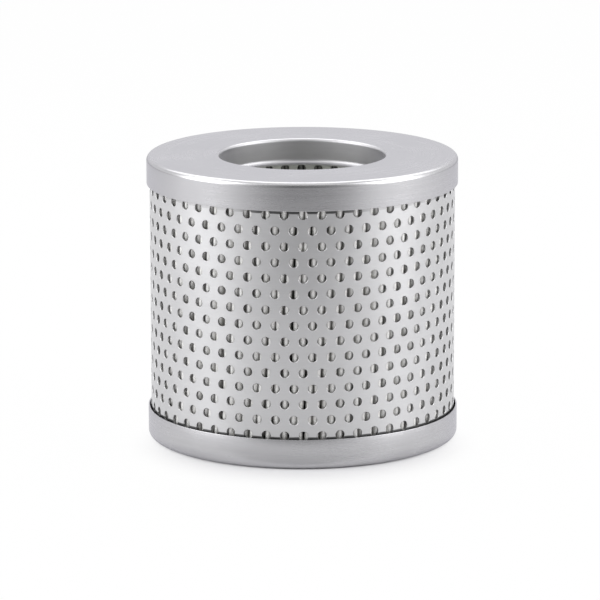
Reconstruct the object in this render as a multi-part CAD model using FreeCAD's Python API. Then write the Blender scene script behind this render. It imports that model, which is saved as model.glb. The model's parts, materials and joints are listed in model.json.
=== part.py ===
import FreeCAD, Part
import math
import os
from FreeCAD import Placement, Rotation, Vector

# Hydraulic filter element: a folded pack of filter media between two punched
# tubes, potted into two drawn sheet caps. Oil comes in through the guard tube,
# crosses the pack and leaves through the collar in the top cap.
# Millimetres, +Z up, origin at the centre of the bottom face. -Y is the front.

# End caps, drawn from one gauge of sheet. Bend radii are on the inside of the bend.
overall_height = 78.1
cap_diameter = 85.2
cap_sheet = 0.4
cap_bend_radius = 1.0        # plate to skirt
top_skirt_height = 7.7
bottom_skirt_height = 8.2
bore_diameter = 45.6         # inside of the collar
collar_depth = 7.25          # top plate's upper face to the collar's lower end
mouth_bend_radius = 0.85     # plate to collar
lip_bend_radius = 1.15       # collar to the lip that is turned in at its lower end

# Punched tubes, rolled from one gauge of sheet and seam welded
tube_sheet = 0.8
skirt_clearance = 0.42       # guard tube inside the skirts
collar_clearance = 0.55      # core tube outside the collar
guard_hole_pitch = 5.0       # round the tube, along the middle of its sheet
core_hole_pitch = 4.75
row_pitch = 4.29             # up the tube, each row half a pitch on from the last
hole_diameter = 2.5
seam_land = 1.0              # least plain metal between the weld and a hole

# Folded pack: support mesh, filter media, support mesh, closed by a clip
fold_count = 118
support_mesh_thickness = 0.12
media_thickness = 0.3
pack_clearance = 0.15        # folds inside the guard tube and outside the core tube
clip_sheet = 0.3
clip_depth = 3.0             # how far the clip's legs reach down the folds

# Potting resin
potting_depth = 3.0          # from the cap's plate to the ends of the folds

# The real element has some 1200 holes and 118 folds. Here one hole or fold stands
# for this many in each direction, and is that much larger or thicker, so that the
# open area and the amount of media stay the same.
pattern_step = 2
hole_sides = 6               # a modelled hole is a polygon with a round hole's area

cap_radius = cap_diameter / 2
bore_radius = bore_diameter / 2
guard_outer = cap_radius - cap_sheet - skirt_clearance
guard_inner = guard_outer - tube_sheet
core_inner = bore_radius + cap_sheet + collar_clearance
core_outer = core_inner + tube_sheet
tube_seat = cap_sheet + max(cap_bend_radius, mouth_bend_radius)   # plate's outer face to tubes
pack_seat = cap_sheet + potting_depth                             # plate's outer face to folds

folds = round(fold_count / pattern_step)
half_media = pattern_step * media_thickness / 2
half_pack = half_media + pattern_step * support_mesh_thickness
crest_radius = guard_inner - pack_clearance - half_pack    # middle of the pack over a crest
valley_radius = core_outer + pack_clearance + half_pack    # and in a valley

front = -90.0                # degrees round +Z
back = 90.0                  # the pack's clip and the guard tube's weld are here
no_length = 1e-6             # points this near are one point


def section(point):
    """A (radius, height) point in the half plane that is turned round Z."""
    return Vector(point[0], 0, point[1])


def bend(centre, radius, start, end):
    """Arc for turned(), as its middle and end points. Angles in degrees about centre."""
    def at(angle):
        turn = math.radians(angle)
        return (centre[0] + radius * math.cos(turn), centre[1] + radius * math.sin(turn))
    return (at((start + end) / 2), at(end))


def turned(steps):
    """Solid turned round Z. Each step is a (radius, height) point or a bend() from the last."""
    edges = []
    here = section(steps[0])
    for step in steps[1:] + steps[:1]:
        bent = isinstance(step[0], tuple)
        end = section(step[1] if bent else step)
        if bent:
            edges.append(Part.Arc(here, section(step[0]), end).toShape())
        elif not here.isEqual(end, no_length):
            edges.append(Part.makeLine(here, end))
        here = end
    face = Part.Face(Part.Wire(edges))
    return face.revolve(Vector(0, 0, 0), Vector(0, 0, 1), 360)


def turned_over(shape):
    """The shape turned over, so that what stood on the base hangs from the top plane."""
    hung = shape.copy()
    hung.rotate(Vector(0, 0, overall_height / 2), Vector(1, 0, 0), 180)
    return hung


def skirt_section(skirt_height):
    """Plate's edge and skirt of a cap that lies on its plate, from outside round to inside."""
    corner = (cap_radius - cap_sheet - cap_bend_radius, cap_sheet + cap_bend_radius)
    return [
        (corner[0], 0),
        bend(corner, cap_bend_radius + cap_sheet, -90, 0),
        (cap_radius, skirt_height),
        (cap_radius - cap_sheet, skirt_height),
        (cap_radius - cap_sheet, corner[1]),
        bend(corner, cap_bend_radius, 0, -90),
    ]


def make_bottom_cap():
    """A shallow closed cup."""
    return turned([(0, 0)] + skirt_section(bottom_skirt_height) + [(0, cap_sheet)])


def make_top_cap():
    """A ring with a skirt outside and a collar inside, which ends in a turned-in lip."""
    mouth = (bore_radius + cap_sheet + mouth_bend_radius, cap_sheet + mouth_bend_radius)
    lip = (bore_radius - lip_bend_radius, collar_depth - cap_sheet - lip_bend_radius)
    collar_section = [
        (mouth[0], cap_sheet),
        bend(mouth, mouth_bend_radius, -90, -180),
        (bore_radius + cap_sheet, lip[1]),
        bend(lip, lip_bend_radius + cap_sheet, 0, 90),
        (lip[0], collar_depth - cap_sheet),
        bend(lip, lip_bend_radius, 90, 0),
        (bore_radius, mouth[1]),
        bend(mouth, mouth_bend_radius + cap_sheet, 180, 270),
    ]
    return turned_over(turned(skirt_section(top_skirt_height) + collar_section))


def potting_section():
    """Resin on a cap's plate. It beds the tubes' ends and stands up between them."""
    skirt_inner = cap_radius - cap_sheet
    return [
        (skirt_inner - cap_bend_radius, cap_sheet),
        (skirt_inner, cap_sheet + cap_bend_radius),
        (skirt_inner, tube_seat),
        (guard_inner, tube_seat),
        (guard_inner, pack_seat),
        (core_outer, pack_seat),
        (core_outer, tube_seat),
    ]


def make_bottom_potting():
    """Ends flush with the core tube's inner wall."""
    return turned(potting_section() + [(core_inner, tube_seat), (core_inner, cap_sheet)])


def make_top_potting():
    """Runs on under the core tube to the collar."""
    collar_outer = bore_radius + cap_sheet
    return turned_over(turned(potting_section() + [
        (collar_outer, tube_seat),
        (collar_outer, cap_sheet + mouth_bend_radius),
        (collar_outer + mouth_bend_radius, cap_sheet),
    ]))


def punch(diameter, start, end):
    """Prism along +X, one corner up, with the area of a round punch of this diameter."""
    step = 2 * math.pi / hole_sides
    corner_radius = diameter * math.sqrt(math.pi / (2 * hole_sides * math.sin(step)))
    corners = [
        Vector(start, corner_radius * math.sin(k * step), corner_radius * math.cos(k * step))
        for k in range(hole_sides)
    ]
    face = Part.Face(Part.makePolygon(corners + corners[:1]))
    return face.extrude(Vector(end - start, 0, 0))


def punched_tube(inner, outer, hole_pitch, seam_angle):
    """Tube between the caps, with staggered rows of holes between the skirts."""
    length = overall_height - 2 * tube_seat
    base = Vector(0, 0, tube_seat)
    tube = Part.makeCylinder(outer, length, base).cut(Part.makeCylinder(inner, length, base))

    diameter = hole_diameter * pattern_step
    row_step = row_pitch * pattern_step
    middle_radius = (inner + outer) / 2
    around = round(2 * math.pi * middle_radius / (hole_pitch * pattern_step))
    highest = overall_height - top_skirt_height
    lowest = bottom_skirt_height
    rows = int((highest - lowest - diameter / 2) / row_step) + 1

    tool = punch(diameter, inner - tube_sheet, outer + tube_sheet)
    from_weld = diameter / 2 + seam_land
    tools = []
    for row in range(rows):
        height = (highest + lowest) / 2 + (row - (rows - 1) / 2) * row_step
        for column in range(around):
            angle = front + 360 * (column + (row % 2) / 2) / around
            past_seam = (angle - seam_angle + 180) % 360 - 180
            if abs(math.radians(past_seam)) * middle_radius < from_weld:
                continue
            hole = tool.copy()
            hole.Placement = Placement(Vector(0, 0, height), Rotation(Vector(0, 0, 1), angle))
            tools.append(hole)
    return tube.cut(tools).Solids[0]


def crest_corner(offset):
    """Radius and half width of a crest, on the line this far outside the pack's middle."""
    return crest_radius + offset, half_pack + offset


def valley_corner(offset):
    """The same for a valley. Where the pack's face is a plain bend, the half width is 0."""
    return valley_radius + offset, half_pack - offset


def fold_line(offset):
    """Closed line through every fold, this far outside the pack's middle, at height 0."""
    points = []
    for fold in range(folds):
        for corner, turn in ((crest_corner(offset), fold), (valley_corner(offset), fold + 0.5)):
            radius, half_width = corner
            around = Rotation(Vector(0, 0, 1), back + 360 * turn / folds)
            if half_width > no_length:
                points.append(around.multVec(Vector(radius, -half_width, 0)))
            points.append(around.multVec(Vector(radius, half_width, 0)))
    return Part.makePolygon(points + points[:1])


def raised(wires):
    """The area between the wires, or inside one, raised from one potting to the other."""
    face = Part.makeFace(wires, "Part::FaceMakerBullseye")
    solid = face.extrude(Vector(0, 0, overall_height - 2 * pack_seat))
    solid.translate(Vector(0, 0, pack_seat))
    return solid


def make_pack():
    """The three layers, folded together, and the clip over their two ends.

    The strip's ends stand side by side as one crest at the back, cut off below the
    innermost layer's turn. The clip is a channel over that cut.
    """
    cut_radius = crest_corner(-half_pack)[0] - half_pack
    skin_radius, skin_width = crest_corner(half_pack)
    foot_radius = valley_corner(half_pack)[0]
    half_turn = math.pi / folds
    foot = (foot_radius * math.cos(half_turn), foot_radius * math.sin(half_turn))
    lean = (foot[1] - skin_width) / (skin_radius - foot[0])
    end_radius = cut_radius - clip_depth

    def skin(radius):
        """Half width over the outer faces of the seam's crest."""
        return skin_width + lean * (skin_radius - radius)

    across = 2 * (skin(end_radius) + clip_sheet)
    above = Part.makeBox(skin_radius, across, overall_height, Vector(cut_radius, -across / 2, 0))
    above.rotate(Vector(0, 0, 0), Vector(0, 0, 1), back)

    channel = [
        (end_radius, skin(end_radius)),
        (cut_radius, skin(cut_radius)),
        (cut_radius, -skin(cut_radius)),
        (end_radius, -skin(end_radius)),
        (end_radius, -skin(end_radius) - clip_sheet),
        (cut_radius + clip_sheet, -skin(cut_radius) - clip_sheet),
        (cut_radius + clip_sheet, skin(cut_radius) + clip_sheet),
        (end_radius, skin(end_radius) + clip_sheet),
    ]
    points = [Vector(x, y, 0) for x, y in channel]
    clip = raised([Part.makePolygon(points + points[:1])])
    clip.rotate(Vector(0, 0, 0), Vector(0, 0, 1), back)

    def layer(outer_offset, inner_offset):
        whole = raised([fold_line(outer_offset), fold_line(inner_offset)])
        return whole.cut(above).Solids[0]

    return {
        "outer_support_mesh": layer(half_pack, half_media),
        "filter_media": layer(half_media, -half_media),
        "inner_support_mesh": layer(-half_media, -half_pack),
        "seam_clip": clip,
    }


def main():
    pieces = {
        "top_end_cap": make_top_cap(),
        "bottom_end_cap": make_bottom_cap(),
        "guard_tube": punched_tube(guard_inner, guard_outer, guard_hole_pitch, back),
        "core_tube": punched_tube(core_inner, core_outer, core_hole_pitch, front),
        "top_potting": make_top_potting(),
        "bottom_potting": make_bottom_potting(),
    }
    pieces.update(make_pack())
    os.makedirs("parts", exist_ok=True)
    for name, shape in pieces.items():
        shape.exportStep("parts/" + name + ".step")


main()
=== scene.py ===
import json
import math

import bpy
import numpy as np
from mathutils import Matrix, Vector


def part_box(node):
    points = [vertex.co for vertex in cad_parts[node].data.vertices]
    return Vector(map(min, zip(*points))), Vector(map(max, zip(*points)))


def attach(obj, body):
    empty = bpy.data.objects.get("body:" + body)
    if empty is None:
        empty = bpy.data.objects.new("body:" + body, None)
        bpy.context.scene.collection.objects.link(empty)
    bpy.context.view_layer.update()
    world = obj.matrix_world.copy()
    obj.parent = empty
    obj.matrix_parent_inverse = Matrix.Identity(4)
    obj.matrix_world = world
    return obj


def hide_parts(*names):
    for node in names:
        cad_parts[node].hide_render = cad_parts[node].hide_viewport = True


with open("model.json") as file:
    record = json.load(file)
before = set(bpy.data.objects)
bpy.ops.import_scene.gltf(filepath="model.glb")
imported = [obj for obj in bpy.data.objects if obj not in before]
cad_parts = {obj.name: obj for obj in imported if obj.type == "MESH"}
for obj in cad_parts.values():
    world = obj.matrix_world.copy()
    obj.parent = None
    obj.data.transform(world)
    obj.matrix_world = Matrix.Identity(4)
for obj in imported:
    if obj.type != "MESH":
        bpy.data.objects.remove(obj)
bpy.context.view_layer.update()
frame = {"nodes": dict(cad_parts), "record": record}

# Hydraulic filter: two drawn steel caps, two punched steel tubes and the folded pack between them.
# Lengths are in metres, and mm turns a size in millimetres into metres.
mm = 0.001


def nodeSize(name):
    # lowest corner, highest corner and outer radius of a CAD node
    low, high = (np.array(corner, dtype=float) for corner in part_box(name))
    return low, high, (high[0] - low[0]) / 2


mounts = {mount["name"]: mount for mount in frame["record"]["mounts"]}
topLow, topHigh, capRadius = nodeSize("top_end_cap")
_, bottomHigh, _ = nodeSize("bottom_end_cap")
guardLow, guardHigh, guardRadius = nodeSize("guard_tube")
coreLow, coreHigh, coreRadius = nodeSize("core_tube")
packLow, packHigh, _ = nodeSize("outer_support_mesh")
boreRadius = mounts["collar_bore"]["dims"]["r_mm"] * mm
height = topHigh[2]
frontAngle = -math.pi / 2
backAngle = math.pi / 2
rimMiddle = (topLow[2] + bottomHigh[2]) / 2      # halfway between the rims of the two skirts
rimReach = (topLow[2] - bottomHigh[2]) / 2       # and from there to each rim


# Mesh making

def addPiece(name, points, faceSets, material, replaced=(), sharpAngle=30.0, uvSets=None):
    # points is an (n, 3) array, and each face set is an (m, 3) or (m, 4) array of point numbers
    mesh = bpy.data.meshes.new(name)
    mesh.vertices.add(len(points))
    mesh.vertices.foreach_set("co", np.ascontiguousarray(points, dtype=np.float32).ravel())
    corners = np.concatenate([faces.ravel() for faces in faceSets]).astype(np.int32)
    sizes = np.concatenate([np.full(len(faces), faces.shape[1]) for faces in faceSets])
    starts = np.concatenate([[0], np.cumsum(sizes)[:-1]]).astype(np.int32)
    mesh.loops.add(len(corners))
    mesh.loops.foreach_set("vertex_index", corners)
    mesh.polygons.add(len(sizes))
    mesh.polygons.foreach_set("loop_start", starts)
    mesh.update(calc_edges=True)
    mesh.validate()
    if uvSets is not None:
        layer = mesh.uv_layers.new(name="surface")
        flat = np.concatenate([uv.reshape(-1, 2) for uv in uvSets])
        layer.data.foreach_set("uv", flat.astype(np.float32).ravel())
    mesh.polygons.foreach_set("use_smooth", np.ones(len(mesh.polygons), dtype=bool))
    mesh.set_sharp_from_angle(angle=math.radians(sharpAngle))
    mesh.materials.append(material)
    piece = bpy.data.objects.new(name, mesh)
    bpy.context.scene.collection.objects.link(piece)
    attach(piece, "root")
    if replaced:
        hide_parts(*replaced)
    print("piece", name, int((sizes - 2).sum()), "triangles")
    return piece


def welded(points, faceSets):
    # points in the same place, to nine decimals of a metre, become one point
    _, first, place = np.unique(np.round(points, 9), axis=0, return_index=True, return_inverse=True)
    place = place.ravel()
    return points[first], [place[faces] for faces in faceSets]


def ringQuads(upper, lower):
    # quads between two closed rings of point numbers, whose last axis goes round
    following = np.roll(upper, -1, axis=-1)
    below = np.roll(lower, -1, axis=-1)
    return np.stack([upper, following, below, lower], axis=-1).reshape(-1, 4)


def polar(radius, angle, z):
    # points at a radius, an angle round Z and a height, as an (..., 3) array
    radius, angle, z = np.broadcast_arrays(radius, angle, z)
    return np.stack([radius * np.cos(angle), radius * np.sin(angle), z], axis=-1)


def arc(centre, radius, start, end, steps=8):
    # points on an arc about centre, from start to end in degrees
    turn = np.radians(np.linspace(start, end, steps + 1))
    return np.stack([centre[0] + radius * np.cos(turn), centre[1] + radius * np.sin(turn)], axis=1)


def guarded(profile, reach=0.05 * mm, longFrom=0.4 * mm):
    # each long straight stretch gets a point near both its ends, so that shading stays even on it
    following = np.roll(profile, -1, axis=0)
    step = following - profile
    length = np.hypot(step[:, 0], step[:, 1])
    rows = []
    for here, way, far in zip(profile, step, length):
        rows.append(here)
        if far > longFrom:
            rows.append(here + way * reach / far)
            rows.append(here + way * (1 - reach / far))
    return np.array(rows)


def turnedPiece(name, profile, segments, material, replaced, closed=True):
    # A (radius, height) profile carried once round Z: a point is profile radius times the cosine
    # and sine of its turn, at profile height. An open profile starts and ends on the axis, where
    # one point closes each end. The UV map has the share of a turn and the way along the profile.
    ringed = profile if closed else profile[1:-1]
    angle = 2 * math.pi * np.arange(segments) / segments
    points = polar(ringed[:, :1], angle, ringed[:, 1:]).reshape(-1, 3)
    number = np.arange(len(ringed) * segments).reshape(len(ringed), segments)
    along = np.concatenate([[0], np.cumsum(np.hypot(*np.diff(ringed, axis=0).T))])
    if closed:
        following = np.roll(number, -1, axis=0)
        starts, ends = along, np.append(along[1:], along[-1] + np.hypot(*(ringed[0] - ringed[-1])))
    else:
        number, following = number[:-1], number[1:]
        starts, ends = along[:-1], along[1:]
    left = np.broadcast_to(np.arange(segments) / segments, number.shape)
    right = left + 1 / segments
    upper, lower = (np.repeat(v[:, None], segments, axis=1) for v in (starts, ends))
    corners = [(left, upper), (right, upper), (right, lower), (left, lower)]
    faceSets = [ringQuads(number, following)]
    uvSets = [np.stack([np.stack(corner, axis=-1) for corner in corners], axis=-2)]
    if not closed:
        first, last = number[0], following[-1]
        poles = len(points) + np.arange(2)
        points = np.concatenate([points, [[0, 0, profile[0, 1]], [0, 0, profile[-1, 1]]]])
        for pole, near, far, v in ((poles[0], np.roll(first, -1), first, 0.0),
                                   (poles[1], last, np.roll(last, -1), along[-1])):
            faceSets.append(np.stack([np.full(segments, pole), near, far], axis=1))
            share = np.stack([(left[0] + right[0]) / 2, right[0] if v == 0 else left[0],
                              left[0] if v == 0 else right[0]], axis=1)
            uvSets.append(np.stack([share, np.full_like(share, v)], axis=-1))
    return addPiece(name, points, faceSets, material, replaced, uvSets=uvSets)


# Materials

noiseBand = (0.3, 0.7)           # most values of a noise lie between these
markDepth = 0.02 * mm            # of the marks in steel, at a bump strength of 1


class Tree:
    # a material's nodes, with short calls for the ones used here

    def __init__(self, name):
        self.material = bpy.data.materials.new(name)
        self.material.use_nodes = True
        self.nodes = self.material.node_tree.nodes
        self.links = self.material.node_tree.links
        self.shader = self.nodes["Principled BSDF"]

    def add(self, kind, **settings):
        made = self.nodes.new("ShaderNode" + kind)
        for name, value in settings.items():
            setattr(made, name, value)
        return made

    def feed(self, socket, value):
        if isinstance(value, bpy.types.NodeSocket):
            self.links.new(value, socket)
        else:
            socket.default_value = value

    def math(self, operation, first, second=0.0):
        made = self.add("Math", operation=operation)
        self.feed(made.inputs[0], first)
        self.feed(made.inputs[1], second)
        return made.outputs[0]

    def blend(self, *parts):
        # weighted sum of (weight, value) pairs
        total = 0.0
        for weight, value in parts:
            total = self.math("ADD", total, self.math("MULTIPLY", value, weight))
        return total

    def combine(self, x, y, z):
        made = self.add("CombineXYZ")
        for socket, value in zip(made.inputs, (x, y, z)):
            self.feed(socket, value)
        return made.outputs[0]

    def place(self):
        return self.add("TexCoord").outputs["Object"]

    def noise(self, vector, scale, detail=2.0, roughness=0.5):
        made = self.add("TexNoise")
        self.feed(made.inputs["Vector"], vector)
        made.inputs["Scale"].default_value = scale
        made.inputs["Detail"].default_value = detail
        made.inputs["Roughness"].default_value = roughness
        return made.outputs["Fac"]

    def step(self, value, start, end, low=0.0, high=1.0):
        # low before start, high after end, and a smooth way between them
        made = self.add("MapRange", interpolation_type="SMOOTHSTEP")
        self.feed(made.inputs["Value"], value)
        made.inputs["From Min"].default_value = start
        made.inputs["From Max"].default_value = end
        made.inputs["To Min"].default_value = low
        made.inputs["To Max"].default_value = high
        return made.outputs["Result"]

    def tint(self, factor, first, second):
        # the first colour where the factor is 0, the second where it is 1
        made = self.add("Mix", data_type="RGBA")
        self.feed(made.inputs["Factor"], factor)
        for socket, colour in ((made.inputs["A"], first), (made.inputs["B"], second)):
            self.feed(socket, (*colour, 1.0) if isinstance(colour, tuple) else colour)
        return made.outputs["Result"]

    def bump(self, height, strength, distance):
        made = self.add("Bump")
        made.inputs["Strength"].default_value = strength
        made.inputs["Distance"].default_value = distance
        self.feed(made.inputs["Height"], height)
        return made.outputs["Normal"]

    def aroundAxis(self):
        # distance from the axis, angle round it, and height, from Object coordinates
        place = self.add("SeparateXYZ")
        self.links.new(self.place(), place.inputs[0])
        x, y, z = place.outputs
        squares = self.math("ADD", self.math("MULTIPLY", x, x), self.math("MULTIPLY", y, y))
        return self.math("SQRT", squares), self.math("ARCTAN2", y, x), z


def turnedSteel(name, look):
    # Satin sheet with fine rings left by turning and drawing: noise that is fine across the rings
    # and long round the axis, a coarser layer of the same, and broad cloudy patches. All that is
    # within the bore's radius, such as the collar, has a roughness of its own.
    tree = Tree(name)
    radius, angle, z = tree.aroundAxis()
    outward = tree.math("ADD", radius, z)
    inward = tree.math("SUBTRACT", radius, z)

    def rings(linesPerMetre, turns, detail):
        # noise over lines across the rings, and turns round the axis
        return tree.noise(tree.combine(
            tree.math("MULTIPLY", outward, linesPerMetre), tree.math("MULTIPLY", angle, turns),
            tree.math("MULTIPLY", inward, linesPerMetre)), 1.0, detail, roughness=0.6)

    fine = rings(look["linesPerMetre"], look["streakTurn"], detail=4.0)
    coarse = rings(look["linesPerMetre"] / look["fewerLines"],
                   look["streakTurn"] / look["longerStreaks"], detail=3.0)
    clouds = tree.noise(tree.place(), look["cloudScale"], detail=3.0, roughness=0.55)
    mixed = tree.blend(*zip(look["mix"], (fine, coarse, clouds)))
    rough = look["roughness"]
    tree.feed(tree.shader.inputs["Base Color"], tree.tint(
        tree.step(mixed, *noiseBand), look["dark"], look["light"]))
    drawn = tree.step(
        radius, boreRadius + look["drawnNear"], boreRadius + look["drawnFar"], 1.0, 0.0)
    satin = tree.step(mixed, *noiseBand, *rough)
    tree.feed(tree.shader.inputs["Roughness"], tree.blend(
        (1.0, satin), (look["drawnRoughness"] - sum(rough) / 2, drawn)))
    tree.feed(tree.shader.inputs["Normal"], tree.bump(
        tree.blend(*zip(look["markMix"], (fine, coarse))), look["bump"], markDepth))
    tree.shader.inputs["Metallic"].default_value = 1.0
    tree.shader.inputs["Specular Tint"].default_value = (*look["grazing"], 1.0)
    tree.shader.inputs["Anisotropic"].default_value = look["anisotropy"]
    tangent = tree.add("Tangent", direction_type="UV_MAP", uv_map="surface")
    tree.links.new(tangent.outputs[0], tree.shader.inputs["Tangent"])
    return tree.material


def rolledSteel(name, look):
    # Mill sheet: short grain along the rolling direction and pale clouds. The wall of a punched
    # hole is burnished where the punch went in, and torn and dark from there on, partly as duller
    # torn steel and partly as painted shade in the hole. A dark line of painted shade, with a wavy
    # border, runs along the tube at the two skirts. The upper line is wider, and weak away from the
    # front, as painted shade under the overhang of the top skirt.
    tree = Tree(name)
    radius, angle, z = tree.aroundAxis()
    grain = tree.noise(tree.combine(
        tree.math("MULTIPLY", angle, look["outer"] * look["grainPerMetre"] * look["grainAlong"]),
        tree.math("MULTIPLY", z, look["grainPerMetre"]),
        tree.math("MULTIPLY", radius, look["grainPerMetre"])), 1.0, detail=5.0, roughness=0.7)
    place = tree.place()
    clouds = tree.noise(place, look["cloudScale"], detail=3.0, roughness=0.6)
    pits = tree.noise(place, look["pitScale"])
    mixed = tree.blend(*zip(look["mix"], (grain, clouds)))
    face = tree.tint(tree.step(mixed, *noiseBand), look["dark"], look["light"])

    # painted shade: a dark band on the tube along each skirt's rim
    fromMiddle = tree.math("ABSOLUTE", tree.math("SUBTRACT", z, rimMiddle - look["rimShadeMore"] / 2))
    waved = tree.blend((1.0, fromMiddle), (look["rimShadeWave"], tree.noise(place, look["waveScale"])))
    rimShadeEnd = rimReach - look["rimShadeWidth"] - look["rimShadeMore"] / 2 + look["rimShadeWave"] / 2
    paintedRimShade = tree.step(waved, rimShadeEnd, rimShadeEnd + look["rimShadeFade"], 0.0, look["rimShadeDepth"])
    # the upper band is painted shade under the top skirt, weak away from the front
    isUpper = tree.math("GREATER_THAN", z, rimMiddle)
    turned = tree.math("COSINE", tree.math("SUBTRACT", angle, frontAngle))
    lost = tree.step(turned, *look["rimShadeFront"], 1 - look["rimShadeAside"], 0.0)
    missing = tree.math("MULTIPLY", isUpper, lost)
    paintedRimShade = tree.math("MULTIPLY", paintedRimShade, tree.math("SUBTRACT", 1.0, missing))
    rimShaded = tree.tint(paintedRimShade, face, look["paintedRimShade"])
    burnished = look["outer"] - look["burnished"]
    innerFace = look["outer"] - look["sheet"] + look["innerSkin"]
    # the torn wall: partly duller torn steel, partly painted shade in the hole
    tornAndShaded = tree.math(
        "MULTIPLY", tree.step(radius, burnished - look["tornFade"], burnished, 1.0, 0.0),
        tree.math("GREATER_THAN", radius, innerFace))
    walled = tree.tint(tornAndShaded, rimShaded, look["tornAndShaded"])
    tree.feed(tree.shader.inputs["Base Color"], walled)
    tree.feed(tree.shader.inputs["Roughness"], tree.step(mixed, *noiseBand, *look["roughness"]))
    tree.feed(tree.shader.inputs["Normal"], tree.bump(
        tree.blend(*zip(look["markMix"], (grain, pits))), look["bump"], markDepth))
    tree.shader.inputs["Metallic"].default_value = look["metallic"]
    return tree.material


def wireCloth(name, look):
    # Plain weave in the cloth's own UV map, in metres: wires cross over and under each other, so
    # the height is the higher of two round wires, each lifted and sunk by turns.
    tree = Tree(name)
    place = tree.add("SeparateXYZ")
    tree.links.new(tree.add("UVMap", uv_map="surface").outputs[0], place.inputs[0])
    u = tree.math("MULTIPLY", place.outputs[0], math.pi / look["wirePitch"])
    v = tree.math("MULTIPLY", place.outputs[1], math.pi / look["wirePitch"])
    lift = tree.math("MULTIPLY", tree.math("COSINE", u), tree.math("COSINE", v))
    upright = tree.math("ADD", tree.math("ABSOLUTE", tree.math("SINE", u)), lift)
    level = tree.math("SUBTRACT", tree.math("ABSOLUTE", tree.math("SINE", v)), lift)
    weave = tree.math("MAXIMUM", upright, level)
    stain = tree.noise(tree.place(), look["stainScale"], detail=4.0, roughness=0.6)
    wires = tree.tint(tree.step(weave, *look["weaveBand"]), look["dark"], look["light"])
    tree.feed(tree.shader.inputs["Base Color"], tree.tint(
        tree.step(stain, *look["stainBand"], 0.0, look["stainDepth"]), wires, look["stain"]))
    tree.feed(tree.shader.inputs["Roughness"], tree.step(stain, *noiseBand, *look["roughness"]))
    tree.feed(tree.shader.inputs["Normal"], tree.bump(
        weave, look["bump"], look["wirePitch"] * look["wireDepth"]))
    tree.shader.inputs["Metallic"].default_value = look["metallic"]
    return tree.material


def feltedMedia(name, look):
    # pressed fibres: fine crossing fibres over broader tufts
    tree = Tree(name)
    place = tree.place()
    fibres = tree.noise(place, look["fibreScale"], detail=6.0, roughness=0.75)
    tufts = tree.noise(place, look["tuftScale"], detail=3.0)
    mixed = tree.blend(*zip(look["mix"], (fibres, tufts)))
    tree.feed(tree.shader.inputs["Base Color"], tree.tint(
        tree.step(mixed, *noiseBand), look["dark"], look["light"]))
    tree.feed(tree.shader.inputs["Normal"], tree.bump(fibres, look["bump"], look["fibreDepth"]))
    tree.shader.inputs["Roughness"].default_value = look["roughness"]
    return tree.material


def setResin(name, look):
    # poured resin: a level face with faint flow marks and pin bubbles
    tree = Tree(name)
    place = tree.place()
    flow = tree.noise(place, look["flowScale"], detail=3.0)
    bubbles = tree.add("TexVoronoi")
    tree.links.new(place, bubbles.inputs["Vector"])
    bubbles.inputs["Scale"].default_value = look["bubbleScale"]
    tree.feed(tree.shader.inputs["Base Color"], tree.tint(flow, look["dark"], look["light"]))
    tree.feed(tree.shader.inputs["Roughness"], tree.step(flow, *noiseBand, *look["roughness"]))
    tree.feed(tree.shader.inputs["Normal"], tree.bump(
        tree.step(bubbles.outputs["Distance"], *look["bubbleEdge"]), look["bump"],
        look["bubbleDepth"]))
    return tree.material


capLook = {
    "dark": (0.499, 0.496, 0.510), "light": (0.558, 0.555, 0.569), "roughness": (0.22, 0.30),
    "drawnRoughness": 0.44,      # within the bore's radius: the collar was drawn and not turned
    "drawnNear": 0.1 * mm, "drawnFar": 0.4 * mm,   # it ends over this way outside that radius
    "grazing": (0.848, 0.844, 0.880),   # share of the plain reflection left at a grazing angle
    "anisotropy": 0.3, "linesPerMetre": 5200.0, "streakTurn": 9.0, "cloudScale": 60.0,
    "fewerLines": 6, "longerStreaks": 7,      # of the coarse rings, against the fine ones
    "mix": (0.3, 0.3, 0.4),      # shares of fine rings, coarse rings and clouds in the colour
    "markMix": (0.6, 0.4),       # and of fine and coarse rings in the relief
    "bump": 0.08,
}
holes = {"radius": 1.25 * mm, "rollOver": 0.07 * mm, "rowPitch": 4.3 * mm, "sideSteps": 4}
guardLook = {
    "outer": guardRadius, "sheet": 0.5 * mm, "burnished": 0.2 * mm,
    "dark": (0.572, 0.572, 0.579), "light": (0.629, 0.629, 0.636), "roughness": (0.32, 0.42),
    "metallic": 1.0, "grainPerMetre": 2600.0, "cloudScale": 45.0, "pitScale": 2200.0, "bump": 0.10,
    "grainAlong": 0.12,          # lines along the rolling direction for each line across
    "mix": (0.4, 0.6),           # shares of grain and clouds in the colour
    "markMix": (1.0, 0.5),       # and of grain and pits in the relief
    # colour of the torn hole wall, partly duller torn steel and partly painted shade in the hole
    "tornAndShaded": (0.32, 0.32, 0.32), "tornFade": 0.1 * mm,
    "innerSkin": 0.01 * mm,      # this close to the inner face nothing is torn
    # painted shade: the dark band along the skirts' rims, its width, border and depth
    "paintedRimShade": (0.05, 0.05, 0.05), "rimShadeWidth": 0.66 * mm, "rimShadeFade": 0.25 * mm,
    "rimShadeWave": 0.25 * mm, "waveScale": 320.0, "rimShadeDepth": 0.9,
    "rimShadeMore": 0.3 * mm,        # width of the upper line beyond the lower one
    "rimShadeAside": 0.2,            # strength left in the upper painted shade away from the front
    "rimShadeFront": (0.90, 0.97),   # cosine of the way round from the front, from weak to full
}
coreLook = dict(
    guardLook, outer=coreRadius, sheet=0.8 * mm, dark=(0.78, 0.79, 0.75), light=(0.88, 0.89, 0.85),
    metallic=0.25, rimShadeDepth=0.0)
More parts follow.
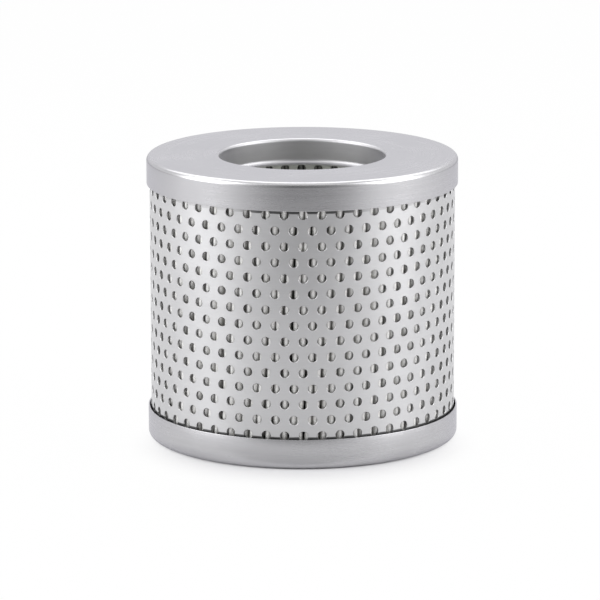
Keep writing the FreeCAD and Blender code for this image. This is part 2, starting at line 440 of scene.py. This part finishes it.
clothLook = {
    "wirePitch": 0.32 * mm, "dark": (0.72, 0.715, 0.70), "light": (0.88, 0.875, 0.86),
    "stain": (0.62, 0.60, 0.54), "stainDepth": 0.25, "roughness": (0.36, 0.48), "metallic": 0.5,
    "bump": 0.3, "wireDepth": 0.3,       # wireDepth is a share of the pitch
    "weaveBand": (0.1, 1.1),             # heights of the weave from dark to light
    "stainScale": 240.0, "stainBand": (0.45, 0.75),
}
# the same cloth made dark: painted shade deep in the pack, where little light gets in
innerClothShadedLook = dict(clothLook, dark=(0.17, 0.17, 0.16), light=(0.30, 0.30, 0.29))
mediaLook = {
    "dark": (0.62, 0.60, 0.54), "light": (0.82, 0.80, 0.74), "roughness": 0.9,
    "fibreScale": 3200.0, "tuftScale": 400.0,
    "mix": (0.6, 0.4),           # shares of fibres and tufts in the colour
    "bump": 0.5, "fibreDepth": 0.05 * mm,
}
resinLook = {
    "dark": (0.055, 0.052, 0.047), "light": (0.085, 0.080, 0.072), "roughness": (0.3, 0.5),
    "flowScale": 90.0, "bubbleScale": 900.0, "bubbleEdge": (0.05, 0.16),
    "bump": 0.4, "bubbleDepth": 0.1 * mm,
}

capSteel = turnedSteel("capSteel", capLook)
guardSteel = rolledSteel("guardSteel", guardLook)
coreSteel = rolledSteel("coreSteel", coreLook)
supportCloth = wireCloth("supportCloth", clothLook)
innerClothShaded = wireCloth("innerClothShaded", innerClothShadedLook)
filterFelt = feltedMedia("filterFelt", mediaLook)
pottingResin = setResin("pottingResin", resinLook)
print("stage: materials made")


# End caps

caps = {
    "sheet": 0.4 * mm,
    "skirtBend": 1.0 * mm,       # bend radii on the inside of the bend
    "mouthBend": 0.45 * mm,
    "lipBend": 1.15 * mm,
    "collarDepth": 7.25 * mm,
    "edge": 0.08 * mm,           # rounding of the sheet's cut edges
    "discRings": (4 * mm, 20 * mm),      # rings that divide the bottom cap's disc
    "segments": 320,
}
edgeTurn = np.radians([0, 30, 60, 90])


def cutEdge(corner, along, turn):
    # A quarter circle that rounds the sheet's corner. A point is the corner, less the way along
    # times one less the sine of its turn, plus the way it turns times one less the cosine.
    edge = caps["edge"]
    corner, along, turn = np.array(corner), np.array(along), np.array(turn)
    share = np.sin(edgeTurn)
    rest = np.cos(edgeTurn)
    return corner - along * edge * (1 - share)[:, None] + turn * edge * (1 - rest)[:, None]


def skirtProfile(skirtHeight):
    # plate's edge and skirt of a cap that lies on its plate, from outside round to inside
    sheet, bendIn = caps["sheet"], caps["skirtBend"]
    corner = (capRadius - sheet - bendIn, sheet + bendIn)
    return np.concatenate([
        arc(corner, bendIn + sheet, -90, 0, steps=12),
        cutEdge((capRadius, skirtHeight), (0, 1), (-1, 0)),
        cutEdge((capRadius - sheet, skirtHeight), (-1, 0), (0, -1)),
        arc(corner, bendIn, 0, -90),
    ])


def makeTopCap():
    # skirt, plate, collar and turned-in lip, drawn plate down and then turned over
    sheet = caps["sheet"]
    mouthIn, lipIn = caps["mouthBend"], caps["lipBend"]
    mouth = (boreRadius + sheet + mouthIn, sheet + mouthIn)
    lip = (boreRadius - lipIn, caps["collarDepth"] - sheet - lipIn)
    profile = np.concatenate([
        skirtProfile(topHigh[2] - topLow[2]),
        arc(mouth, mouthIn, -90, -180),
        arc(lip, lipIn + sheet, 0, 90, steps=10),
        arc(lip, lipIn, 90, 0, steps=10),
        arc(mouth, mouthIn + sheet, 180, 270, steps=12),
    ])
    profile[:, 1] = height - profile[:, 1]
    return turnedPiece("topCap", guarded(profile)[::-1], caps["segments"], capSteel,
                       ["top_end_cap"])


def makeBottomCap():
    # a closed cup, from the middle of its underside round to the middle of its floor
    rings = (0.0, *caps["discRings"])
    profile = np.concatenate([
        [(ring, 0.0) for ring in rings],
        skirtProfile(bottomHigh[2]),
        [(ring, caps["sheet"]) for ring in rings[::-1]],
    ])
    return turnedPiece("bottomCap", profile, caps["segments"], capSteel,
                       ["bottom_end_cap"], closed=False)


makeTopCap()
makeBottomCap()
print("stage: caps made")


# Punched tubes

# first is the angle of the first hole, seam the column with the weld, and middle the height of the
# middle row
guard = {
    "name": "guardTube", "outer": guardRadius, "sheet": guardLook["sheet"], "around": 52, "rows": 15,
    "first": frontAngle + 0.0045, "seam": 26, "middle": height - 38.97 * mm,
    "low": guardLow[2], "high": guardHigh[2],
    # how far the rolled sheet's holes stray, aside and up: this much times the sine of the way
    # round from the front, and this much times one less the cosine of twice that way
    "asideSine": -0.37 * mm, "asideSides": -0.59 * mm, "upSine": 0.32 * mm, "upSides": 0.28 * mm,
}
core = {
    "name": "coreTube", "outer": coreRadius, "sheet": coreLook["sheet"], "around": 32, "rows": 15,
    "first": backAngle + 0.0067, "seam": 16, "middle": height - 38.76 * mm,
    "low": coreLow[2], "high": coreHigh[2],
    "asideSine": 0.0, "asideSides": 0.0, "upSine": 0.0, "upSides": 0.0,
}


def punchedTube(tube, material, replaced):
    # The wall is a lattice of cells, staggered row by row, with a round hole in each: a point of
    # a hole is the cell's middle plus the hole's radius times the cosine and sine of its turn,
    # laid round the tube. Rings of points lead from a cell's edge over the hole's rolled rim,
    # through the wall and back to the cell's edge inside. A cell on the weld is a plain patch.
    side = holes["sideSteps"]
    half, ringSize, count = side // 2, 4 * side, tube["around"] * side
    outer, inner = tube["outer"], tube["outer"] - tube["sheet"]
    walk = np.arange(side)
    edgeX = np.concatenate([np.full(side, half), half - walk, np.full(side, -half), walk - half])
    edgeY = np.roll(edgeX, side)
    row, column = np.meshgrid(np.arange(tube["rows"]), np.arange(tube["around"]), indexing="ij")
    latticeX, latticeY = side * column + half * (row % 2), side * row

    def surfacePoints(radius, x, y, awayX=0.0, awayY=0.0):
        # lattice numbers x and y, with a way off them in metres, as points on a cylinder
        angle = tube["first"] + 2 * math.pi * (x % count) / count
        z = tube["middle"] + (y / side - (tube["rows"] - 1) / 2) * holes["rowPitch"]
        sine, sides = np.sin(angle - frontAngle), 1 - np.cos(2 * (angle - frontAngle))
        awayX = awayX + tube["asideSine"] * sine + tube["asideSides"] * sides
        awayY = awayY + tube["upSine"] * sine + tube["upSides"] * sides
        return polar(radius, angle + awayX / ((outer + inner) / 2), z + awayY)

    plain = (row % 2 == 0) & (column == tube["seam"])
    cellX, cellY = latticeX[~plain][:, None], latticeY[~plain][:, None]
    turn = -math.pi / 4 + 2 * math.pi * np.arange(ringSize) / ringSize
    roll, hole = holes["rollOver"], holes["radius"]
    rings = [surfacePoints(outer, cellX + edgeX, cellY + edgeY)]
    for reach, radius in ((hole + roll, outer), (hole, outer - roll), (hole, inner)):
        rings.append(surfacePoints(radius, cellX, cellY, reach * np.cos(turn), reach * np.sin(turn)))
    rings.append(surfacePoints(inner, cellX + edgeX, cellY + edgeY))
    points, faceSets, total = [], [], 0

    def addBlock(block):
        # keeps a block of points, and gives their numbers
        nonlocal total
        number = total + np.arange(block[..., 0].size).reshape(block.shape[:-1])
        points.append(block.reshape(-1, 3))
        total += number.size
        return number

    number = addBlock(np.stack(rings))
    faceSets.extend(ringQuads(number[k], number[k + 1]) for k in range(len(rings) - 1))

    # plain patches on the weld
    patchX, patchY = np.meshgrid(np.arange(side + 1) - half, np.arange(side + 1) - half, indexing="ij")
    for radius, outward in ((outer, True), (inner, False)):
        number = addBlock(surfacePoints(
            radius, latticeX[plain][:, None, None] + patchX, latticeY[plain][:, None, None] + patchY))
        quads = np.stack([number[:, :-1, :-1], number[:, 1:, :-1], number[:, 1:, 1:],
                          number[:, :-1, 1:]], axis=-1).reshape(-1, 4)
        faceSets.append(quads if outward else quads[:, ::-1])

    # plain ends: along the outside, over the rim and back along the inside
    around = np.arange(count)
    for edge, end, up in ((side * (tube["rows"] - 1) + half, tube["high"], True),
                          (-half, tube["low"], False)):
        band = np.stack([
            surfacePoints(radius, around, edge) for radius in (outer, outer, inner, inner)])
        band[1:3, :, 2] = end
        number = addBlock(band)
        quads = np.concatenate([ringQuads(number[k], number[k + 1]) for k in range(3)])
        faceSets.append(quads if up else quads[:, ::-1])

    allPoints, faceSets = welded(np.concatenate(points), faceSets)
    return addPiece(tube["name"], allPoints, faceSets, material, replaced)


punchedTube(guard, guardSteel, ["guard_tube"])
punchedTube(core, coreSteel, ["core_tube"])
print("stage: tubes made")


# Folded pack

pack = {
    "folds": 118, "cloth": 0.12 * mm, "media": 0.30 * mm, "clearance": 0.15 * mm,
    "crestBend": 0.60 * mm,      # radius of a fold's bend, at the middle of the pack
    "valleyBend": 0.36 * mm,
    "phase": 0.00908,            # how far round the first crest stands, at half height
    "twist": 0.993,              # how far round a crest goes on in a metre of height
    "wander": 0.09 * mm,         # how far a crest strays to the side
    "wanderMost": 0.16,          # and at most, as a share of the way to the next crest
    "waves": (22 * mm, 17 * mm, 9 * mm),      # heights over which the straying turns by a radian
    "lastWave": 0.5,             # strength of the shortest wave
    "sinking": 0.08 * mm,        # how far a crest strays inwards
    "seamDrop": 1.3 * mm,        # how much lower the crest under the clip is
    "seed": 7, "levels": 10, "arcSteps": 6,
}
halfMedia = pack["media"] / 2
halfPack = halfMedia + pack["cloth"]
crestRadius = guard["outer"] - guard["sheet"] - pack["clearance"] - halfPack - pack["crestBend"]
valleyRadius = core["outer"] + pack["clearance"] + halfPack + pack["valleyBend"]


def twisted(z):
    # how far round the pack is turned at a height
    return pack["phase"] + pack["twist"] * (z - height / 2)


def foldedLine(offset, z):
    # The strip's section at each height, this far outside the middle of the pack. Each fold is a
    # half circle over the crest, a straight flank, a half circle in the valley and a flank back.
    # The strip starts and ends at the back, as the two sides of one crest. A crest strays aside by
    # slow sines of its height, and inwards, by seeded amounts.
    chance = np.random.default_rng(pack["seed"])
    folds = pack["folds"]
    pitch = 2 * math.pi / folds
    stray = chance.normal(0.0, pack["wander"] / crestRadius, (4, folds))
    stray[:, 0] = 0.0
    long, middling, short = pack["waves"]
    waves = np.stack([np.ones_like(z), np.sin(z / long), np.cos(z / middling),
                      pack["lastWave"] * np.sin(z / short)])
    most = pack["wanderMost"] * pitch
    lean = np.clip(waves.T @ stray, -most, most)
    sink = np.abs(chance.normal(0.0, pack["sinking"], folds))
    sink[0] = pack["seamDrop"]
    regular = backAngle + pitch * np.arange(folds) + twisted(z)[:, None]
    turn = np.linspace(-math.pi / 2, math.pi / 2, pack["arcSteps"] + 1)

    def halfCircles(radius, angle, reach, sign):
        # bends about centres at this radius and angle. sign is 1 over a crest, -1 in a valley.
        angle = angle[..., None]
        along = radius + sign * reach * np.cos(turn)
        aside = reach * np.sin(turn)
        return np.stack([along * np.cos(angle) - aside * np.sin(angle),
                         along * np.sin(angle) + aside * np.cos(angle)], axis=-1)

    crests = halfCircles(
        (crestRadius - sink)[None, :, None], regular + lean, pack["crestBend"] + offset, 1)
    valleys = halfCircles(valleyRadius, regular + pitch / 2, pack["valleyBend"] - offset, -1)
    line = np.concatenate([crests, valleys], axis=2).reshape(len(z), -1, 2)
    return np.concatenate([crests[:, 0, -1:], line[:, len(turn):], crests[:, 0, :1]], axis=1)


def closedStrip(name, sections, z, material, replaced=(), sharpAngle=50.0, u=None):
    # A solid through sections that are stacked up at the heights z. A section runs along one face
    # and back along the other, so its two halves are joined to close the solid's ends.
    levels, size = sections.shape[:2]
    points = np.concatenate([sections, np.broadcast_to(z[:, None, None], (levels, size, 1))], axis=2)
    number = np.arange(levels * size).reshape(levels, size)
    here = np.arange(size // 2 - 1)
    across = np.stack([here, here + 1, size - 2 - here, size - 1 - here], axis=1)
    sides = ringQuads(number[:-1], number[1:])[:, ::-1]
    faceSets = [sides, number[-1][across], number[0][across][:, ::-1]]
    uvSets = None
    if u is not None:
        spot = np.stack(np.broadcast_arrays(u, z[:, None]), axis=-1).reshape(-1, 2)
        uvSets = [spot[faces] for faces in faceSets]
    return addPiece(name, points.reshape(-1, 3), faceSets, material, replaced,
                    sharpAngle, uvSets)


def foldedLayer(name, outerOffset, innerOffset, material, replaced):
    # one layer of the strip, between two folded lines, with the way along the strip as u
    z = np.linspace(packLow[2], packHigh[2], pack["levels"])
    outerLine, innerLine = foldedLine(outerOffset, z), foldedLine(innerOffset, z)
    along = np.concatenate([[0.0], np.cumsum(np.hypot(*np.diff(outerLine[0], axis=0).T))])
    sections = np.concatenate([outerLine, innerLine[:, ::-1]], axis=1)
    return closedStrip(name, sections, z, material, replaced,
                       u=np.concatenate([along, along[::-1]]))


clip = {"gauge": 0.3 * mm, "legs": 3.0 * mm}


def seamClip():
    # a channel over the strip's two ends, with legs down their outer faces
    gauge, legs = clip["gauge"], clip["legs"]
    inside = pack["crestBend"] + halfPack
    ridge = crestRadius - pack["seamDrop"]
    half = np.array([[ridge - legs, inside], [ridge, inside]])
    skin = np.array([[ridge - legs, inside + gauge], [ridge + gauge, inside + gauge]])
    shape = np.concatenate([half, half[::-1] * (1, -1), skin * (1, -1), skin[::-1]])
    z = np.linspace(packLow[2], packHigh[2], pack["levels"])
    angle = (backAngle + twisted(z))[:, None]
    away, aside = shape[:, 0], shape[:, 1]
    sections = np.stack([away * np.cos(angle) - aside * np.sin(angle),
                         away * np.sin(angle) + aside * np.cos(angle)], axis=-1)[:, ::-1]
    return closedStrip("seamClip", sections, z, coreSteel, ["seam_clip"], 30.0)


foldedLayer("outerSupportCloth", halfPack, halfMedia, supportCloth,
            ["outer_support_mesh"])
foldedLayer("filterMedia", halfMedia, -halfMedia, filterFelt, ["filter_media"])
foldedLayer("innerSupportCloth", -halfMedia, -halfPack, innerClothShaded,
            ["inner_support_mesh"])
seamClip()
print("stage: pack made")


# Weld down the guard tube

weld = {
    "width": 1.1 * mm, "rise": 0.11 * mm, "sunk": 0.1 * mm, "levels": 400, "pointsAcross": 9,
    "ripple": 0.5 * mm, "rippleShare": 0.18,      # of the rise
    "waver": 3 * mm, "waverShare": 0.05,          # of the width
}


def weldBead():
    # A low rippled bead along the tube's weld. Its section is half an ellipse, let into the wall.
    # Along its length its rise swells by a cosine, and its width by a slower sine.
    angle = guard["first"] + 2 * math.pi * guard["seam"] / guard["around"]
    across = np.linspace(-1.0, 1.0, weld["pointsAcross"])
    z = np.linspace(guard["low"], guard["high"], weld["levels"])
    swell = 1.0 + weld["rippleShare"] * np.cos(2 * math.pi * z / weld["ripple"])[:, None]
    waver = 1.0 + weld["waverShare"] * np.sin(2 * math.pi * z / weld["waver"])
    wide = weld["width"] / 2 * waver[:, None]
    top = guard["outer"] + weld["rise"] * swell * np.sqrt(np.clip(1 - across ** 2, 0, 1))
    rings = [polar(top, angle + across * wide / guard["outer"], 0.0),
             polar(guard["outer"] - weld["sunk"], angle + across[::-1] * wide / guard["outer"], 0.0)]
    sections = np.concatenate(rings, axis=1)[..., :2]
    return closedStrip("guardWeld", sections, z, guardSteel)


weldBead()

for name in ("top_potting", "bottom_potting"):
    node = frame["nodes"][name]
    node.data.materials.clear()
    node.data.materials.append(pottingResin)
print("stage: weld and resin made")


# Stage and light

studio = {
    "paper": (0.90, 0.896, 0.91), "paperSize": 6.0, "paperDrop": 0.02 * mm,
    "fibreScale": 900.0, "fibrePaler": 0.02,
    "paperRoughness": 0.9, "paperSpecular": 0.1,
    "shadeAhead": 14.0 * mm,     # the shade's middle, in front of the axis
    # share of plain white in the paper, near the filter and away from it
    "cameraGlow": (0.0, 0.98),   # as the camera sees it
    "cameraFade": (26.0 * mm, 49.0 * mm),     # growing over this distance from the shade's middle
    "glossGlow": (0.0, 0.30),    # and as reflections show it
    "glossFade": (43.0 * mm, 60.0 * mm),      # growing over this distance from the axis
    "besidePaintedLight": 0.8,           # and more, as painted light close round the filter, in reflections only:
    "besideStart": (40.0 * mm, 46.0 * mm),    # growing over this distance from the shade's middle
    "besideEnd": (55.0 * mm, 90.0 * mm),      # and going over this one from the axis
    "worldLight": 0.48,
}
boxes = {
    "leftBox": {"place": (-0.60, -0.15, 0.34), "size": (0.50, 0.70), "energy": 2.45},
    "rightBox": {"place": (0.60, -0.16, 0.34), "size": (0.50, 0.70), "energy": 2.4},
    "topBox": {"place": (0.0, 0.34, 0.60), "size": (1.10, 0.40), "energy": 2.1},
}
sweep = {
    "distance": 1.3,             # from the axis forward to the upright part
    "height": 2.5, "width": 2.4,
    "start": 0.044,              # the lying part starts this far in front of the axis
    "lift": mm,                  # and this far above the paper
    "colour": (0.03, 0.03, 0.032), "roughness": 0.8,
    # painted shade on the paper close to the filter, in reflections only:
    "nearShade": 0.22, "nearStart": 0.055, "nearEnd": 0.085,      # clearing over this way ahead
    "lyingShade": 0.63, "lyingNear": 0.18, "lyingFar": 0.35,      # and dense again over this one
    "uprightShade": 0.82,
    "fadeStart": 0.15, "fadeEnd": 1.3,       # sideways over forward, from dense to clear
    "topStart": 1.3, "topEnd": 2.3,          # height over which the upright part clears
}


def plainFloor():
    # Pale paper, with plain white mixed in for the camera and in reflections. Both fade out
    # towards the filter, where the paper is in its shade. In reflections a band of paper close
    # round the filter is whiter, as painted light.
    size, drop = studio["paperSize"], -studio["paperDrop"]
    mesh = bpy.data.meshes.new("floor")
    corners = [(-size, -size, drop), (size, -size, drop), (size, size, drop), (-size, size, drop)]
    mesh.from_pydata(corners, [], [(0, 1, 2, 3)])
    floor = bpy.data.objects.new("floor", mesh)
    bpy.context.scene.collection.objects.link(floor)
    tree = Tree("floorPaper")
    fibre = tree.noise(tree.place(), studio["fibreScale"])
    paler = tuple(level + studio["fibrePaler"] for level in studio["paper"])
    tree.feed(tree.shader.inputs["Base Color"], tree.tint(fibre, studio["paper"], paler))
    tree.shader.inputs["Roughness"].default_value = studio["paperRoughness"]
    tree.shader.inputs["Specular IOR Level"].default_value = studio["paperSpecular"]
    glow = tree.add("Emission")
    glow.inputs["Color"].default_value = (1.0, 1.0, 1.0, 1.0)
    path = tree.add("LightPath")
    radius, _, _ = tree.aroundAxis()
    middle = tree.add("VectorMath", operation="DISTANCE")
    tree.links.new(tree.place(), middle.inputs[0])
    middle.inputs[1].default_value = (0.0, -studio["shadeAhead"], drop)
    fromShade = middle.outputs["Value"]
    watched = path.outputs["Is Camera Ray"]
    mirrored = tree.math(
        "MAXIMUM", path.outputs["Is Glossy Ray"], path.outputs["Is Transmission Ray"])
    # painted light: a whiter band of paper close round the filter, in reflections only
    paintedBeside = tree.math(
        "MULTIPLY", tree.step(fromShade, *studio["besideStart"], 0.0, studio["besidePaintedLight"]),
        tree.step(radius, *studio["besideEnd"], 1.0, 0.0))
    reflected = tree.math(
        "MULTIPLY", mirrored, tree.step(radius, *studio["glossFade"], *studio["glossGlow"]))
    direct = tree.math(
        "MULTIPLY", watched, tree.step(fromShade, *studio["cameraFade"], *studio["cameraGlow"]))
    share = tree.math("MAXIMUM", reflected, direct)
    share = tree.math("MAXIMUM", share, tree.math("MULTIPLY", mirrored, paintedBeside))
    mixer = tree.add("MixShader")
    tree.feed(mixer.inputs[0], share)
    tree.links.new(tree.shader.outputs[0], mixer.inputs[1])
    tree.links.new(glow.outputs[0], mixer.inputs[2])
    tree.links.new(mixer.outputs[0], tree.nodes["Material Output"].inputs["Surface"])
    mesh.materials.append(tree.material)


def plainWorld():
    # even light from all round, which the camera and the reflections see as plain white
    world = bpy.data.worlds.new("studio")
    world.use_nodes = True
    bpy.context.scene.world = world
    nodes, links = world.node_tree.nodes, world.node_tree.links
    surround, white = nodes["Background"], nodes.new("ShaderNodeBackground")
    for background, strength in ((surround, studio["worldLight"]), (white, 1.0)):
        background.inputs["Color"].default_value = (1.0, 1.0, 1.0, 1.0)
        background.inputs["Strength"].default_value = strength
    path = nodes.new("ShaderNodeLightPath")
    seen = path.outputs["Is Camera Ray"]
    for kind in ("Is Glossy Ray", "Is Transmission Ray"):
        either = nodes.new("ShaderNodeMath")
        either.operation = "MAXIMUM"
        links.new(seen, either.inputs[0])
        links.new(path.outputs[kind], either.inputs[1])
        seen = either.outputs[0]
    mixer = nodes.new("ShaderNodeMixShader")
    links.new(seen, mixer.inputs[0])
    links.new(surround.outputs[0], mixer.inputs[1])
    links.new(white.outputs[0], mixer.inputs[2])
    links.new(mixer.outputs[0], nodes["World Output"].inputs["Surface"])


def softBox(name, place, size, energy):
    # an area lamp at a place, turned to the middle of the filter
    lamp = bpy.data.lights.new(name, "AREA")
    lamp.shape = "RECTANGLE"
    lamp.size, lamp.size_y = size
    lamp.energy = energy
    box = bpy.data.objects.new(name, lamp)
    bpy.context.scene.collection.objects.link(box)
    away = np.array(place) - (0, 0, height / 2)
    box.location = place
    box.rotation_euler = (math.atan2(math.hypot(away[0], away[1]), away[2]), 0.0,
                          math.atan2(away[0], -away[1]))


def darkSweep():
    # The dark side of the studio, behind the camera, seen only in reflections: it lies on the
    # paper in front and then stands up. It is densest straight ahead and fades to the sides and to
    # the top. The lying part has a faint strip of painted shade on the paper close to the filter,
    # and a clear one after that.
    mesh = bpy.data.meshes.new("darkSweep")
    wide, far, top = sweep["width"] / 2, -sweep["distance"], sweep["height"]
    near, low = -sweep["start"], sweep["lift"]
    corners = [(-wide, far, top), (wide, far, top), (wide, far, low), (-wide, far, low),
               (wide, near, low), (-wide, near, low)]
    mesh.from_pydata(corners, [], [(0, 1, 2, 3), (3, 2, 4, 5)])
    card = bpy.data.objects.new("darkSweep", mesh)
    bpy.context.scene.collection.objects.link(card)
    tree = Tree("studioDark")
    tree.shader.inputs["Base Color"].default_value = (*sweep["colour"], 1.0)
    tree.shader.inputs["Roughness"].default_value = sweep["roughness"]
    place = tree.add("SeparateXYZ")
    tree.links.new(tree.place(), place.inputs[0])
    x, y, z = place.outputs
    ahead = tree.math("MULTIPLY", y, -1.0)
    aside = tree.math("DIVIDE", tree.math("ABSOLUTE", x), ahead)
    # painted shade: a faint strip on the paper close to the filter
    strip = tree.step(ahead, sweep["nearStart"], sweep["nearEnd"], sweep["nearShade"], 0.0)
    lying = tree.math("MAXIMUM", strip, tree.step(
        ahead, sweep["lyingNear"], sweep["lyingFar"], 0.0, sweep["lyingShade"]))
    upright = tree.step(z, sweep["topStart"], sweep["topEnd"], sweep["uprightShade"], 0.0)
    isUpright = tree.math("GREATER_THAN", z, 2 * sweep["lift"])
    dense = tree.blend((1.0, lying), (1.0, tree.math(
        "MULTIPLY", isUpright, tree.math("SUBTRACT", upright, sweep["lyingShade"]))))
    density = tree.math("MULTIPLY", tree.math("MAXIMUM", dense, 0.0),
                        tree.step(aside, sweep["fadeStart"], sweep["fadeEnd"], 1.0, 0.0))
    clear = tree.add("BsdfTransparent")
    mixer = tree.add("MixShader")
    tree.feed(mixer.inputs[0], density)
    tree.links.new(clear.outputs[0], mixer.inputs[1])
    tree.links.new(tree.shader.outputs[0], mixer.inputs[2])
    tree.links.new(mixer.outputs[0], tree.nodes["Material Output"].inputs["Surface"])
    mesh.materials.append(tree.material)
    card.visible_camera = False
    card.visible_diffuse = False
    card.visible_shadow = False


plainFloor()
plainWorld()
for name, box in boxes.items():
    softBox(name, box["place"], box["size"], box["energy"])
darkSweep()
print("stage: studio made")


# Camera

view = {
    "distance": 1193.35 * mm,
    "elevation": math.radians(12.4575),
    "below": 40.966 * mm,        # aim, below the top plane
    "focalPixels": 4334.8,
    "middlePixel": 302.474,
    "rollAngle": 0.0018,
    "imagePixels": 600.0,
    "sensor": 36.0,              # in millimetres, as Blender wants it
    "clip": (0.05, 50.0),
}


def makeCamera():
    # looks along +Y and down, from straight in front, with the photograph's small roll
    lens = bpy.data.cameras.new("camera")
    lens.sensor_width = view["sensor"]
    lens.lens = view["focalPixels"] / view["imagePixels"] * lens.sensor_width
    lens.shift_x = (view["imagePixels"] / 2 - view["middlePixel"]) / view["imagePixels"]
    lens.clip_start, lens.clip_end = view["clip"]
    camera = bpy.data.objects.new("camera", lens)
    bpy.context.scene.collection.objects.link(camera)
    tilt, away = view["elevation"], view["distance"]
    camera.location = (0.0, -away * math.cos(tilt), height - view["below"] + away * math.sin(tilt))
    camera.rotation_euler = (math.pi / 2 - tilt, 0.0, 0.0)
    camera.rotation_euler.rotate_axis("Z", -view["rollAngle"])
    bpy.context.scene.camera = camera


makeCamera()
bpy.context.scene.view_settings.view_transform = "Standard"
print("stage: camera set")
